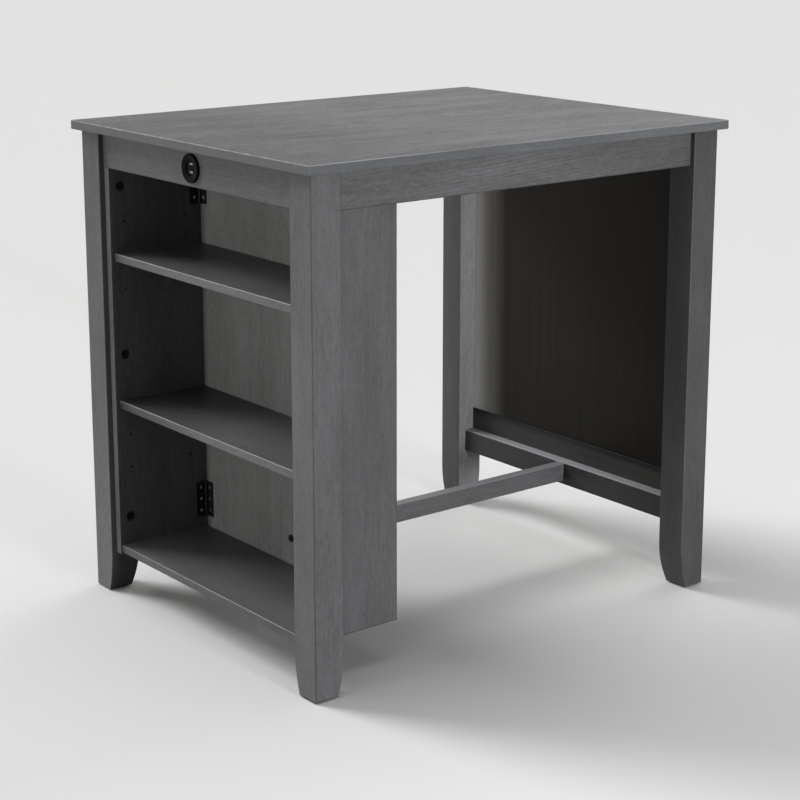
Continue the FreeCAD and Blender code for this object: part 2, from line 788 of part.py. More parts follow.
def case_side_holes(side):
    """Counterbored bolt holes, support holes and cam bolt holes in one side of the case."""
    outward = OUTWARD[side]
    inner_y = f"{SIDES[side]} * {CASE_INNER_Y}"
    holes = []
    for seat in case_bolt_seats(side):
        mouth = (seat[0], inner_y, seat[2])
        holes.append(rod("counterbore_radius", "counterbore_depth", mouth, outward))
        holes.append(rod("case_bolt_radius + bolt_clearance", "side_thickness", seat, outward))
    for rows_height in ("middle_rows_height", UPPER_ROWS_Z):
        for row in SUPPORT_ROWS:
            for x in PIN_COLUMNS:
                mouth = (x, inner_y, f"{rows_height} + {row} * row_spacing")
                size = ("pin_radius + fit_clearance", "pin_length + seat_clearance")
                holes.append(rod(*size, mouth, outward))
    for x in CAM_COLUMNS:
        size = ("cam_thread_radius + fit_clearance", "cam_thread_length + seat_clearance")
        holes.append(rod(*size, (x, inner_y, CAM_BOLT_Z), outward))
    return holes


def make_case_panels(joint_hole):
    """The two sides of the case, and the back between them."""
    heights = ("case_clearance", APRON_Z)
    for side in SIDES:
        across = on_side(side, CASE_INNER_Y, LEG_INNER_Y)
        body = board("z", (CASE_FRONT, CASE_REAR), across, heights)
        holes = case_side_holes(side) + hinge_screw_bores(side, "side")
        piece(f"case_side_{side}", cut(body, holes))
    body = board("z", (BACK_FACE, CASE_REAR), both_ways(CASE_INNER_Y), heights)
    holes = hinge_screw_bores("front", "back") + hinge_screw_bores("back", "back")
    piece("case_back", cut(body, [*holes, joint_hole]))


def make_case_bolts():
    """Bolts with sunk heads through the case sides, and the threaded inserts in the legs."""
    bolts, inserts = [], []
    bore = "case_bolt_radius + fit_clearance"
    size = ("case_bolt_radius", "case_bolt_length", "case_bolt_head_radius", "case_bolt_head_height")
    for side, outward in OUTWARD.items():
        bolts += [socket_bolt(*size, seat, outward) for seat in case_bolt_seats(side)]
        inserts += [
            ring("insert_radius", bore, "insert_length", start, outward)
            for start in insert_starts(side)
        ]
    piece("case_bolts", grouped(bolts))
    piece("case_bolt_inserts", grouped(inserts))


# Adjustable shelves


def make_adjustable_shelf(label, support_height):
    """A loose shelf that lies on four angle supports."""
    heights = beyond(f"({support_height} - support_drop)", "shelf_thickness")
    piece(label, board("y", (SHELF_FRONT, SHELF_REAR), both_ways(SHELF_END), heights))


def shelf_support(side, x, height):
    """An angle with a ledge under the shelf's end and a pin in the side of the case."""
    surface = f"({CASE_INNER_Y} - support_thickness)"
    ledge_top = f"({height} - support_drop)"
    ledge_bottom = f"({ledge_top} - support_thickness)"
    width = (f"({x} - support_width / 2)", f"({x} + support_width / 2)")
    plate_heights = (ledge_bottom, f"({height} + support_rise)")
    plate = block(width, on_side(side, surface, CASE_INNER_Y), plate_heights)
    reach = on_side(side, f"({CASE_INNER_Y} - support_reach)", CASE_INNER_Y)
    ledge = block(width, reach, (ledge_bottom, ledge_top))
    pin_start = (x, f"{SIDES[side]} * {surface}", height)
    pin = rod("pin_radius", "support_thickness + pin_length", pin_start, OUTWARD[side])
    return joined([plate, ledge, pin])


def make_shelf_supports(label, height):
    """The four angle supports of one shelf."""
    piece(label, grouped([shelf_support(side, x, height) for side in SIDES for x in PIN_COLUMNS]))


# Bottom shelf and its cams


def cam_start(side, x):
    """Lower end of a cam, on the underside of the bottom shelf."""
    return (x, f"{SIDES[side]} * {CAM_Y}", BOTTOM_SHELF_Z)


def cam_bolt_start(side, x):
    """Inner end of a cam bolt, a little short of the cam's axis."""
    return (x, f"{SIDES[side]} * ({CAM_Y} + cam_bolt_inset)", CAM_BOLT_Z)


def cam_bolt_hole(side, x):
    """The hole that a cam bolt lies in, in the cam and in the end of the shelf."""
    return rod("cam_bolt_radius + fit_clearance", "cam_setback", cam_bolt_start(side, x), OUTWARD[side])


def make_bottom_shelf():
    """The fixed shelf, with round pockets from below for the cams and a hole to each from the end."""
    heights = beyond(BOTTOM_SHELF_Z, "shelf_thickness")
    body = board("y", (BOTTOM_SHELF_FRONT, BACK_FACE), both_ways(CASE_INNER_Y), heights)
    holes = []
    for side in SIDES:
        for x in CAM_COLUMNS:
            size = ("cam_radius + fit_clearance", "cam_height + seat_clearance")
            holes.append(rod(*size, cam_start(side, x)))
            holes.append(cam_bolt_hole(side, x))
    piece("case_bottom_shelf", cut(body, holes))


def make_cam_fittings():
    """Cams in the bottom shelf, and the bolts in the case sides that they close on."""
    cams, bolts = [], []
    shank_length = "(cam_setback - cam_bolt_inset)"
    for side, outward in OUTWARD.items():
        for x in CAM_COLUMNS:
            cams.append(cut(rod("cam_radius", "cam_height", cam_start(side, x)), [cam_bolt_hole(side, x)]))
            shank = rod("cam_bolt_radius", shank_length, ORIGIN)
            thread = rod("cam_thread_radius", "cam_thread_length", ("0", "0", shank_length))
            bolts.append(place(joined([shank, thread]), cam_bolt_start(side, x), outward))
    piece("shelf_cams", grouped(cams))
    piece("shelf_cam_bolts", grouped(bolts))


# Hinges


def hinge_screw_seats(side, panel):
    """Seats of the six screws that hold two hinges to one side of the case, or to its back."""
    seat_height = "(leaf_thickness - hinge_screw_head_height)"
    if panel == "side":
        x = f"({KNUCKLE_X} - hinge_screw_distance)"
        y = f"{SIDES[side]} * ({CASE_INNER_Y} - {seat_height})"
    else:
        x = f"({BACK_FACE} - {seat_height})"
        y = f"{SIDES[side]} * ({KNUCKLE_Y} - hinge_screw_distance)"
    rows = [(middle, row) for middle in HINGE_LEVELS.values() for row in SCREW_ROWS]
    return [(x, y, f"{middle} + {row} * hinge_screw_spacing") for middle, row in rows]


def hinge_screw_direction(side, panel):
    """The way a hinge screw points."""
    return OUTWARD[side] if panel == "side" else "+x"


def hinge_screw_bores(side, panel):
    """Holes for the hinge screws in a panel of the case."""
    size = ("hinge_screw_radius + fit_clearance", "hinge_screw_length + seat_clearance")
    direction = hinge_screw_direction(side, panel)
    return [rod(*size, seat, direction) for seat in hinge_screw_seats(side, panel)]


def leaf_screw_holes(side, panel):
    """Holes through the leaves for the screws, with a recess for each head."""
    direction = hinge_screw_direction(side, panel)
    holes = []
    for seat in hinge_screw_seats(side, panel):
        holes.append(rod("hinge_screw_radius + fit_clearance", "leaf_thickness", seat, direction))
        recess_radius = "hinge_screw_head_radius + fit_clearance"
        holes.append(rod(recess_radius, "leaf_thickness", seat, OPPOSITE[direction]))
    return holes


def knuckle_heights(index, middle, play):
    """Heights of one knuckle, counted from below, with some play added at both ends."""
    low = f"({middle} - hinge_height / 2 + {index} * hinge_height / {KNUCKLES} - {play})"
    return beyond(low, f"hinge_height / {KNUCKLES} + 2 * {play}")


def leaf_plate(side, panel, middle):
    """The plate of a leaf, flat on a panel of the case and reaching to the hinge's axis."""
    heights = (f"{middle} - hinge_height / 2", f"{middle} + hinge_height / 2")
    if panel == "side":
        lengthwise = (f"{KNUCKLE_X} - leaf_width", KNUCKLE_X)
        across = on_side(side, f"({CASE_INNER_Y} - leaf_thickness)", CASE_INNER_Y)
    else:
        lengthwise = (f"{BACK_FACE} - leaf_thickness", BACK_FACE)
        across = on_side(side, f"({KNUCKLE_Y} - leaf_width)", KNUCKLE_Y)
    return block(lengthwise, across, heights)


def hinge_leaf(side, panel, middle, screw_holes):
    """One leaf of a hinge, notched round the knuckles of the other leaf."""
    first = 0 if panel == "side" else 1
    axis_y = f"{SIDES[side]} * {KNUCKLE_Y}"
    room = "(knuckle_inset + knuckle_play)"
    room_x = (f"{KNUCKLE_X} - {room}", f"{KNUCKLE_X} + {room}")
    room_y = (f"{axis_y} - {room}", f"{axis_y} + {room}")
    notches = [
        block(room_x, room_y, knuckle_heights(index, middle, "knuckle_play"))
        for index in range(1 - first, KNUCKLES, 2)
    ]
    knuckles = []
    for index in range(first, KNUCKLES, 2):
        heights = knuckle_heights(index, middle, "(0 - knuckle_play)")
        knuckles.append(rod("knuckle_radius", extent_of(heights), (KNUCKLE_X, axis_y, heights[0])))
    plate = cut(leaf_plate(side, panel, middle), notches)
    pin_start = (KNUCKLE_X, axis_y, f"{middle} - hinge_height / 2")
    pin_hole = rod("hinge_pin_radius + fit_clearance", "hinge_height", pin_start)
    return cut(joined([plate, *knuckles]), [pin_hole, *screw_holes])


def hinge_pin(side, middle):
    """The pin of a hinge, with a head at each end."""
    half = "(hinge_height / 2)"
    shank = rod("hinge_pin_radius", "hinge_height", ("0", "0", f"0 - {half}"))
    heads = [
        rod("hinge_pin_head_radius", "hinge_pin_head_height", ("0", "0", start))
        for start in (half, f"0 - {half} - hinge_pin_head_height")
    ]
    return place(joined([shank, *heads]), (KNUCKLE_X, f"{SIDES[side]} * {KNUCKLE_Y}", middle))


def make_hinges():
    """Four butt hinges, each with two leaves, a pin and six screws."""
    head = ("hinge_screw_head_radius", "hinge_screw_head_height")
    pins, screws = [], []
    for side in SIDES:
        for panel in ("side", "back"):
            screw_holes = leaf_screw_holes(side, panel)
            for level, middle in HINGE_LEVELS.items():
                leaf = hinge_leaf(side, panel, middle, screw_holes)
                piece(f"hinge_{side}_{level}_{panel}_leaf", leaf)
            direction = hinge_screw_direction(side, panel)
            for seat in hinge_screw_seats(side, panel):
                screws.append(screw("hinge_screw_radius", "hinge_screw_length", *head, seat, direction))
        pins += [hinge_pin(side, middle) for middle in HINGE_LEVELS.values()]
    piece("hinge_pins", grouped(pins))
    piece("hinge_screws", grouped(screws))


# End stretcher


def end_bolt_start(side):
    """Inner end, inside the leg, of a hanger bolt of the end stretcher."""
    return (END_STRETCHER_X, f"{SIDES[side]} * ({LEG_INNER_Y} + end_bolt_grip)", END_STRETCHER_Z)


def end_bolt_hole(side):
    """Hole for a hanger bolt, from inside the leg to the pocket in the end stretcher."""
    size = ("joint_bolt_radius + fit_clearance", "end_bolt_grip + pocket_setback")
    return rod(*size, end_bolt_start(side), INWARD[side])


def make_end_stretcher(joint_hole, end_holes, dowel_holes):
    """The board between the two legs, with a round pocket for a nut near each end."""
    heights = ("stretcher_height", STRETCHER_TOP)
    body = board("y", (END_STRETCHER_FACE, APRON_X), both_ways(LEG_INNER_Y), heights)
    pockets = [
        rod("pocket_radius", "pocket_depth", (APRON_X, f"{sign} * {POCKET_Y}", END_STRETCHER_Z), "-x")
        for sign in SIDES.values()
    ]
    piece("end_stretcher", cut(body, [joint_hole, *end_holes, *pockets, *dowel_holes]))


def half_washer(side):
    """A washer that is round on the side of the pocket's wall and flat on the side of the nut."""
    start = (f"{END_STRETCHER_X} - half_washer_width / 2", f"{SIDES[side]} * {POCKET_Y}", END_STRETCHER_Z)
    disc = rod("pocket_radius - fit_clearance", "half_washer_width", start, "+x")
    waste = block(
        (f"{END_STRETCHER_X} - half_washer_width", f"{END_STRETCHER_X} + half_washer_width"),
        on_side(side, f"({POCKET_Y} - pocket_radius)", HALF_WASHER_Y),
        (f"{END_STRETCHER_Z} - pocket_radius", f"{END_STRETCHER_Z} + pocket_radius"),
    )
    return cut(disc, [waste, end_bolt_hole(side)])


def make_end_stretcher_fasteners():
    """Hanger bolts, half round washers and nuts in the pockets of the end stretcher."""
    bolts, washers, nuts = [], [], []
    for side, inward in INWARD.items():
        length = "end_bolt_grip + pocket_setback"
        bolts.append(rod("joint_bolt_radius", length, end_bolt_start(side), inward))
        washers.append(half_washer(side))
        nut_start = (END_STRETCHER_X, f"{SIDES[side]} * {HALF_WASHER_Y}", END_STRETCHER_Z)
        nut = hexagon_rod("end_nut_radius", "end_nut_height", nut_start, inward)
        nuts.append(cut(nut, [end_bolt_hole(side)]))
    piece("end_stretcher_bolts", grouped(bolts))
    piece("end_stretcher_washers", grouped(washers))
    piece("end_stretcher_nuts", grouped(nuts))


# Middle stretcher


def joint_bolts():
    """Seat, direction, length and barrel place of the bolt at each end of the middle stretcher."""
    wall = f"({APRON_X} - {END_STRETCHER_FACE})"
    return [
        (
            (BACK_FACE, "0", MIDDLE_STRETCHER_Z),
            "+x",
            "(back_thickness + joint_bolt_reach)",
            f"{CASE_REAR} + barrel_setback",
        ),
        (
            (APRON_X, "0", MIDDLE_STRETCHER_Z),
            "-x",
            f"({wall} + joint_bolt_reach)",
            f"{END_STRETCHER_FACE} - barrel_setback",
        ),
    ]


def joint_bolt_holes():
    """Holes for the bolts through the case back and the end stretcher into the middle stretcher."""
    return [
        rod("joint_bolt_radius + bolt_clearance", f"{length} + seat_clearance", seat, direction)
        for seat, direction, length, barrel_x in joint_bolts()
    ]


def make_middle_stretcher(joint_holes):
    """The long board from the case back to the end stretcher, bored from below for barrel nuts."""
    across = both_ways("middle_stretcher_thickness / 2")
    heights = beyond(MIDDLE_STRETCHER_BOTTOM, "middle_stretcher_width")
    body = board("x", (CASE_REAR, END_STRETCHER_FACE), across, heights)
    size = ("barrel_radius + fit_clearance", "(middle_stretcher_width + barrel_length) / 2 + seat_clearance")
    barrel_holes = [
        rod(*size, (barrel_x, "0", MIDDLE_STRETCHER_BOTTOM))
        for seat, direction, length, barrel_x in joint_bolts()
    ]
    piece("middle_stretcher", cut(body, [*joint_holes, *barrel_holes]))


def make_middle_stretcher_fasteners():
    """Bolts with flat heads and hexagon sockets, and the barrel nuts they turn into."""
    bolts, barrels = [], []
    head = ("joint_bolt_head_radius", "joint_bolt_head_height")
    for seat, direction, length, barrel_x in joint_bolts():
        bolts.append(socket_bolt("joint_bolt_radius", length, *head, seat, direction))
        start = (barrel_x, "0", f"{MIDDLE_STRETCHER_Z} - barrel_length / 2")
        bore = rod("joint_bolt_radius + fit_clearance", length, seat, direction)
        barrels.append(cut(rod("barrel_radius", "barrel_length", start), [bore]))
    piece("middle_stretcher_bolts", grouped(bolts))
    piece("middle_stretcher_barrels", grouped(barrels))


# End panel and the rail below it


def panel_groove():
    """The groove that runs round the end panel, in the legs, the apron and the rail."""
    half = "(panel_thickness / 2 + groove_play)"
    return block(
        (f"{RAIL_X} - {half}", f"{RAIL_X} + {half}"),
        both_ways(f"({LEG_INNER_Y} + groove_depth)"),
        (f"({RAIL_TOP} - groove_depth)", f"({APRON_Z} + groove_depth)"),
    )


def dowel_rods(clearance, end_clearance):
    """Upright dowels between the end stretcher and the rail, or the holes for them."""
    length = f"dowel_length + 2 * {end_clearance}"
    low = f"{STRETCHER_TOP} - dowel_length / 2 - {end_clearance}"
    return [
        rod(f"dowel_radius + {clearance}", length, (RAIL_X, f"{row} * dowel_spacing", low))
        for row in DOWEL_ROWS
    ]


def make_end_panel(groove, dowel_holes):
    """The thin panel, standing in the groove of the rail that lies on the end stretcher."""
    panel = block(
        (f"{RAIL_X} - panel_thickness / 2", f"{RAIL_X} + panel_thickness / 2"),
        both_ways(f"({LEG_INNER_Y} + groove_depth - panel_gap)"),
        (f"({RAIL_TOP} - groove_depth)", f"({APRON_Z} + groove_depth - panel_gap)"),
    )
    piece("end_panel", panel)
    lengthwise = (f"{APRON_X} - rail_thickness", APRON_X)
    body = board("y", lengthwise, both_ways(LEG_INNER_Y), (STRETCHER_TOP, RAIL_TOP))
    piece("end_panel_rail", cut(body, [groove, *dowel_holes]))
    piece("rail_dowels", grouped(dowel_rods("0", "0")))


# Power module


def module_start(distance):
    """A place on the axis of the module, by its distance in from the face of the apron."""
    return (f"{MODULE_X} + {distance}", "0", MODULE_Z)


def make_module_housing():
    """The bezel, dished towards its bore, and the tube through the apron, in one piece."""
    inside = "(module_radius - module_wall)"
    front = "(0 - bezel_height)"
    shoulder = f"({front} + bezel_lip)"
    round_place = ("(bezel_radius - bezel_round)", f"({front} + bezel_round)")
    points = [
        ("bezel_bore", f"({front} + bezel_dish)"),
        (round_place[0], front),
        ("bezel_radius", round_place[1]),
        ("bezel_radius", "0"),
        ("module_radius", "0"),
        ("module_radius", "module_length"),
        (inside, "module_length"),
        (inside, shoulder),
        ("bezel_bore", shoulder),
    ]
    piece("module_housing", revolved(points, {1: round_place}, module_start("0"), "+x"))


def socket_middles():
    """Heights of the two sockets."""
    return [f"({MODULE_Z} + {side} * usb_spacing / 2)" for side in (-1, 1)]


def socket_blocks(growth, lengthwise):
    """A block for each of the two sockets, grown by a clearance."""
    across = both_ways(f"(usb_width / 2 + {growth})")
    half = f"(usb_height / 2 + {growth})"
    return [
        block(lengthwise, across, (f"{middle} - {half}", f"{middle} + {half}"))
        for middle in socket_middles()
    ]


def make_usb_sockets():
    """Two metal shells open at the front, each with a tongue that stands on its rear wall."""
    rear = f"({FACE_X} + usb_depth)"
    wall = f"({rear} - usb_wall)"
    shells = socket_blocks("0", (FACE_X, rear))
    rooms = socket_blocks("(0 - usb_wall)", (FACE_X, wall))
    piece("usb_sockets", grouped([cut(shell, [room]) for shell, room in zip(shells, rooms)]))
    lengthwise = (f"{wall} - tongue_length", wall)
    across = both_ways("tongue_width / 2")
    tongues = [
        block(lengthwise, across, (f"{middle} - tongue_thickness / 2", f"{middle} + tongue_thickness / 2"))
        for middle in socket_middles()
    ]
    piece("usb_tongues", grouped(tongues))


def make_module_face():
    """The disc behind the lip of the bezel, with an opening for each socket."""
    radius = "(module_radius - module_wall - fit_clearance)"
    disc = rod(radius, "face_thickness", (FACE_X, "0", MODULE_Z), "+x")
    openings = socket_blocks("fit_clearance", (FACE_X, f"{FACE_X} + face_thickness"))
    piece("module_face", cut(disc, openings))


def make_module_back():
    """The lock nut behind the apron, the cap in the end of the tube and the gland for the cord."""
    nut_start = module_start("apron_thickness")
    nut = hexagon_rod("lock_nut_radius", "lock_nut_height", nut_start, "+x")
    nut_bore = rod("module_radius + fit_clearance", "lock_nut_height", nut_start, "+x")
    piece("module_lock_nut", cut(nut, [nut_bore]))
    cap_start = module_start("module_length - cap_thickness")
    cap_size = ("module_radius - module_wall - fit_clearance", "gland_neck_radius + fit_clearance")
    piece("module_cap", ring(*cap_size, "cap_thickness", cap_start, "+x"))
    neck = rod("gland_neck_radius", "cap_thickness", cap_start, "+x")
    outside = rod("gland_radius", "gland_height", module_start("module_length"), "+x")
    bore = rod("gland_bore", "cap_thickness + gland_height", cap_start, "+x")
    piece("module_cord_gland", cut(joined([neck, outside]), [bore]))


# Glides


def nail_place(height):
    """A place on the axis of a glide, in the frame of a leg's outer corner."""
    return ("glide_inset", "glide_inset", height)


def nail_bore():
    """The hole for a nail, through the glide and up into the leg."""
    size = ("nail_radius + fit_clearance", "nail_length + seat_clearance")
    return rod(*size, nail_place("glide_height - nail_seat"))


def make_glides():
    """A round glide under each leg, held by a nail whose head is sunk in it."""
    disc = rod("glide_radius", "glide_height", nail_place("0"))
    recess = rod("nail_head_radius + fit_clearance", "glide_height - nail_seat", nail_place("0"))
    glide = cut(disc, [nail_bore(), recess])
    seat = nail_place("glide_height - nail_seat")
    nail = screw("nail_radius", "nail_length", "nail_head_radius", "nail_head_height", seat, "+z")
    piece("foot_glides", grouped(list(corner_copies([glide]).values())))
    piece("glide_nails", grouped(list(corner_copies([nail]).values())))


# The whole table


def make_table():
    """All pieces, with each shared hole or groove made once and cut from every piece it crosses."""
    hanger_holes = corner_copies(hanger_bores())
    block_screw_holes = corner_copies(block_screw_bores())
    top_screw_holes = corner_copies(top_screw_bores())
    nail_holes = corner_copies([nail_bore()])
    groove = panel_groove()
    case_joint_hole, end_joint_hole = joint_bolt_holes()
    end_holes = {side: end_bolt_hole(side) for side in SIDES}
    dowel_holes = dowel_rods("fit_clearance", "seat_clearance")
    module_hole = rod("module_radius + seat_clearance", "apron_thickness", module_start("0"), "+x")
    side_holes = {f"case_{side}": insert_holes(side) for side in SIDES}
    side_holes |= {f"panel_{side}": [groove, end_holes[side]] for side in SIDES}

    make_tabletop(top_screw_holes)
    make_legs(hanger_holes, nail_holes, side_holes)
    make_aprons(block_screw_holes, module_hole, groove)
    make_corner_blocks([hanger_holes, block_screw_holes, top_screw_holes])
    make_corner_fasteners()
    make_case_panels(case_joint_hole)
    make_case_bolts()
    make_adjustable_shelf("shelf_upper", UPPER_SUPPORT_Z)
    make_adjustable_shelf("shelf_middle", MIDDLE_SUPPORT_Z)
    make_shelf_supports("shelf_supports_upper", UPPER_SUPPORT_Z)
    make_shelf_supports("shelf_supports_middle", MIDDLE_SUPPORT_Z)
    make_bottom_shelf()
    make_cam_fittings()
    make_hinges()
    make_end_stretcher(end_joint_hole, end_holes.values(), dowel_holes)
    make_end_stretcher_fasteners()
    make_middle_stretcher([case_joint_hole, end_joint_hole])
    make_middle_stretcher_fasteners()
    make_end_panel(groove, dowel_holes)
    make_module_housing()
    make_module_face()
    make_usb_sockets()
    make_module_back()
    make_glides()


def check_and_write():
    """Stops on any feature that failed, and otherwise writes one file for each piece."""
    document.recompute()
    failed = [item.Name for item in document.Objects if {"Invalid", "Error"} & set(item.State)]
    if failed:
        raise RuntimeError(f"features that failed: {failed}")
    for item in pieces:
        if item.Shape.isNull() or not item.Shape.isValid():
            raise RuntimeError(f"no valid solid: {item.Label}")
    os.makedirs("parts", exist_ok=True)
    for item in pieces:
        item.Shape.exportStep(f"parts/{item.Label}.step")


make_table()
check_and_write()
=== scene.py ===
import json
import math
import random
from collections import namedtuple

import bpy
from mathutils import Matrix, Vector


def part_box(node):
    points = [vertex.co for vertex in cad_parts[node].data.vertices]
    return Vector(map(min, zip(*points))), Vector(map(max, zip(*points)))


# Looks of a counter height table with an open shelf case. Lengths are in metres, in the frame's axes:
# X runs along the table with the case at the low end, Y across it, and the floor is at z = 0.

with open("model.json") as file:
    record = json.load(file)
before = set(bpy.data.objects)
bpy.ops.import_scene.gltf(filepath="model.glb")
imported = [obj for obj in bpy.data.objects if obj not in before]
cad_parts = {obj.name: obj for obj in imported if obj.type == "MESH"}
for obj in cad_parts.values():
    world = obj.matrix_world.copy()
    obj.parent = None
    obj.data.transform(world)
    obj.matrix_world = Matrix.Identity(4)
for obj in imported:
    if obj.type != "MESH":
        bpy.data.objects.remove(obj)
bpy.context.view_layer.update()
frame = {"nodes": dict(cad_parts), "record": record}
NODES = frame["nodes"]

# Camera
CAMERA_PLACE = (-2.2261, -2.8268, 1.3495)
CAMERA_TURN = 51.774
CAMERA_TILT = -12.803
CAMERA_LENS = 87.02
CAMERA_SHIFT = -0.1

# Light and stage
STAGE_RADIUS = 60.0
FLOOR_SEEN = (0.80, 0.79, 0.77)
FLOOR_FELT = (0.20, 0.19, 0.18)
SKY_SEEN = (0.80, 0.79, 0.77)
SKY_FELT = (0.11, 0.11, 0.11)
Lamp = namedtuple("Lamp", "source strength angle color")
LAMPS = {
    "overhead": Lamp((-0.06, 0.12, 1.0), 1.05, 60.0, (0.95, 0.97, 1.0)),
    "window": Lamp((-0.45, 1.0, 0.85), 2.10, 25.0, (0.97, 0.98, 1.0)),
    "case_side": Lamp((-1.0, 0.03, 0.03), 1.00, 8.0, (1.0, 1.0, 0.95)),
    "rear_fill": Lamp((1.0, 0.3, 0.30), 1.3, 50.0, (1.0, 1.0, 1.0)),
}
# Softbox before the long side, placed so that the near side of the case shades the inside of it
SOFTBOX_PLACE = (-0.38, -6.0, 1.1)
SOFTBOX_WIDTH = 0.5
SOFTBOX_HEIGHT = 1.2
SOFTBOX_POWER = 170.0
SOFTBOX_COLOR = (0.94, 0.97, 1.0)


class Tree:
    """The nodes of one material or world, with short names for the kinds that they share."""

    def __init__(self, owner, output="ShaderNodeOutputMaterial"):
        owner.use_nodes = True
        self.owner = owner
        self.tree = owner.node_tree
        self.tree.nodes.clear()
        self.output = self.add(output)

    def add(self, kind, settings=None, inputs=None):
        node = self.tree.nodes.new(kind)
        for name, value in (settings or {}).items():
            setattr(node, name, value)
        for name, value in (inputs or {}).items():
            self.put(node.inputs[name], value)
        return node

    def put(self, socket, value):
        if isinstance(value, bpy.types.NodeSocket):
            self.tree.links.new(value, socket)
        else:
            socket.default_value = value

    def math(self, operation, *values):
        node = self.add("ShaderNodeMath", {"operation": operation})
        for socket, value in zip(node.inputs, values):
            self.put(socket, value)
        return node.outputs[0]

    def vector(self, operation, *values):
        node = self.add("ShaderNodeVectorMath", {"operation": operation})
        for socket, value in zip(node.inputs, values):
            self.put(socket, value)
        return node.outputs[0]

    def total(self, parts):
        """The sum of several values, each with its share."""
        result = None
        for value, share in parts:
            scaled = self.math("MULTIPLY", value, share)
            result = scaled if result is None else self.math("ADD", result, scaled)
        return result

    def place(self):
        return self.add("ShaderNodeTexCoord").outputs["Object"]

    def split(self, vector):
        return list(self.add("ShaderNodeSeparateXYZ", inputs={"Vector": vector}).outputs)

    def combine(self, x, y, z):
        return self.add("ShaderNodeCombineXYZ", inputs={"X": x, "Y": y, "Z": z}).outputs[0]

    def noise(self, vector, scale=1.0, detail=2.0, roughness=0.5):
        inputs = {"Vector": vector, "Scale": scale, "Detail": detail, "Roughness": roughness}
        return self.add("ShaderNodeTexNoise", inputs=inputs).outputs["Fac"]

    def layer(self, parts, layer):
        """Noise that is drawn out along the first axis."""
        scaled = [self.math("MULTIPLY", parts[0], layer.along)]
        scaled += [self.math("MULTIPLY", part, layer.across) for part in parts[1:]]
        return self.noise(self.combine(*scaled), detail=layer.detail, roughness=layer.roughness)

    def spread(self, value, low, high, to_low=0.0, to_high=1.0, smooth=False):
        inputs = {
            "Value": value,
            "From Min": low,
            "From Max": high,
            "To Min": to_low,
            "To Max": to_high,
        }
        settings = {"interpolation_type": "SMOOTHSTEP" if smooth else "LINEAR"}
        return self.add("ShaderNodeMapRange", settings, inputs).outputs["Result"]

    def vary(self, noise, to_low=0.0, to_high=1.0):
        """The usual values of a noise, spread over a range."""
        return self.spread(noise, NOISE_LOW, NOISE_HIGH, to_low, to_high)

    def shaded(self, color, share):
        """A colour made lighter or darker by a share."""
        return self.vector("MULTIPLY", color, self.combine(share, share, share))

    def mix(self, share, first, second):
        node = self.add("ShaderNodeMix", {"data_type": "RGBA"})
        self.put(node.inputs[0], share)
        for socket in node.inputs:
            if socket.type == "RGBA":
                self.put(socket, first if socket.name == "A" else second)
        return next(socket for socket in node.outputs if socket.type == "RGBA")

    def bump(self, height, strength, distance):
        inputs = {"Height": height, "Strength": strength, "Distance": distance}
        return self.add("ShaderNodeBump", inputs=inputs).outputs["Normal"]

    def surface(self, **inputs):
        named = {name.replace("_", " "): value for name, value in inputs.items()}
        shader = self.add("ShaderNodeBsdfPrincipled", inputs=named)
        self.put(self.output.inputs["Surface"], shader.outputs[0])
        return self.owner

    def seen_or_felt(self, kind, seen, felt):
        """One look for the rays that show the stage, and another for those that carry its light."""
        path = self.add("ShaderNodeLightPath")
        shown = self.math("MAXIMUM", path.outputs["Is Camera Ray"], path.outputs["Is Glossy Ray"])
        shown = self.math("MAXIMUM", shown, path.outputs["Is Transmission Ray"])
        shaders = [self.add(kind, inputs={"Color": (*color, 1.0)}).outputs[0] for color in (felt, seen)]
        mixed = self.add("ShaderNodeMixShader", inputs={0: shown, 1: shaders[0], 2: shaders[1]})
        self.put(self.output.inputs["Surface"], mixed.outputs[0])
        return self.owner


def rgb(red, green, blue):
    """A colour given as 8 bit screen values."""
    def linear(value):
        share = value / 255
        return share / 12.92 if share <= 0.04045 else ((share + 0.055) / 1.055) ** 2.4
    return (linear(red), linear(green), linear(blue), 1.0)


def new_tree(name):
    return Tree(bpy.data.materials.new(name))


def dress(name, material):
    """Gives a CAD node its material."""
    node = NODES[name]
    if not node.material_slots:
        node.data.materials.append(material)
    for slot in node.material_slots:
        slot.material = material


# The usual values of a noise
NOISE_LOW = 0.3
NOISE_HIGH = 0.7

# Layers of a grain, as repeats in a metre along it and across it, then the noise's own detail and roughness
Layer = namedtuple("Layer", "along across detail roughness")
CLOUD = Layer(4.0, 13.0, 3.0, 0.5)
STREAK = Layer(4.0, 90.0, 4.0, 0.6)
DASH = Layer(24.0, 230.0, 3.0, 0.6)
MOTTLE = Layer(100.0, 180.0, 3.0, 0.55)
FIBRE = Layer(60.0, 900.0, 3.0, 0.7)
PORE = Layer(38.0, 1100.0, 1.0, 0.5)
WANDER = Layer(2.2, 8.0, 3.0, 0.5)
RIPPLE = Layer(11.0, 40.0, 2.0, 0.5)

